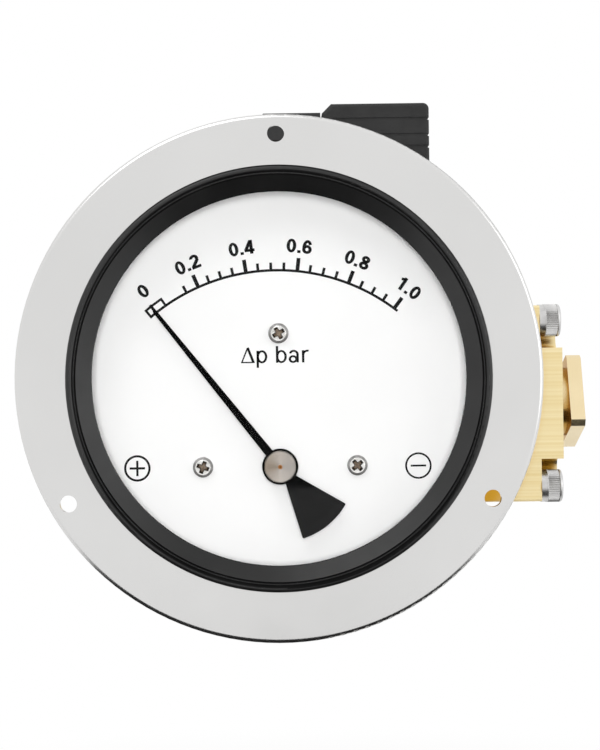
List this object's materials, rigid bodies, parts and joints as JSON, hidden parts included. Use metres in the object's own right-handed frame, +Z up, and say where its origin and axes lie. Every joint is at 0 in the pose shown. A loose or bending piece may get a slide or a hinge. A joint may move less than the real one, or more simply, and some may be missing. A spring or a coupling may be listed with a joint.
{
  "type": "differential pressure gauge",
  "caption": "Panel gauge for differential pressure: flanged round case with dial and pointer, brass piston block with a port at each end, and a reed switch under an angle plug.",
  "frame": {"origin": "centre of the panel flange's rear face, which rests on the panel", "axes": "+X right and +Z up as the dial is read, +Y into the panel, away from the reader"},
  "size_m": [0.1704, 0.1081, 0.1605],
  "materials": {
    "grey_steel": "satin stainless sheet",
    "white_dial": "matt white paint with black marks",
    "black_paint": "matt black paint",
    "black_rubber": "smooth moulded",
    "window_glass": "clear polished",
    "brass": "machined",
    "copper": "plain sheet",
    "steel": "bright zinc plated",
    "turned_steel": "face turned",
    "magnet_alloy": "ground",
    "piston_alloy": "turned",
    "black_plastic": "moulded, fine grain",
    "grey_plastic": "moulded",
    "capsule_glass": "drawn tube"
  },
  "bodies": {
    "gauge": {"case": "grey_steel", "window_gasket": "black_rubber", "window": "window_glass", "dial_plate": "white_dial", "dial_pillars": "brass", "dial_screws": "steel", "front_bearing": "brass", "rear_bearing": "brass", "body_block": "brass", "low_side_cap": "brass", "cap_screws": "steel", "spring_washers": "steel", "diaphragm": "black_rubber", "range_spring": "steel", "low_port_bush": "brass", "low_port_seal": "copper", "high_port_bush": "brass", "high_port_seal": "copper", "switch_housing": "black_plastic", "reed_switch": "capsule_glass", "switch_screws": "steel", "contact_blades": "steel", "connector_gasket": "black_rubber", "plug_housing": "black_plastic", "plug_insert": "grey_plastic", "plug_screw": "steel", "gland_nut": "black_plastic", "gland_seal": "black_rubber"},
    "piston": {"magnet_piston": "piston_alloy", "piston_plug": "grey_plastic", "piston_magnet": "magnet_alloy", "magnet_spacer": "grey_plastic", "switch_magnet": "magnet_alloy", "inner_plate": "piston_alloy", "outer_plate": "piston_alloy", "plate_nut": "steel"},
    "pointer": {"pointer": "black_paint", "pointer_hub": "turned_steel", "pointer_shaft": "copper", "follower_magnet": "magnet_alloy"}
  },
  "joints": [
    {"name": "piston_slide", "type": "slide", "parent": "gauge", "child": "piston", "axis": [1, 0, 0], "range_m": [0, 0.009], "stiffness_N_per_m": 9600, "deforming": ["range_spring", "diaphragm"]},
    {"name": "pointer_turn", "type": "hinge", "parent": "gauge", "child": "pointer", "pos_m": [0, 0.0065, -0.025], "axis": [0, 1, 0], "range_deg": [0, 75.2]}
  ],
  "couplings": [
    {"joint": "pointer_turn", "follows": "piston_slide", "rad_per_m": 145.8}
  ]
}
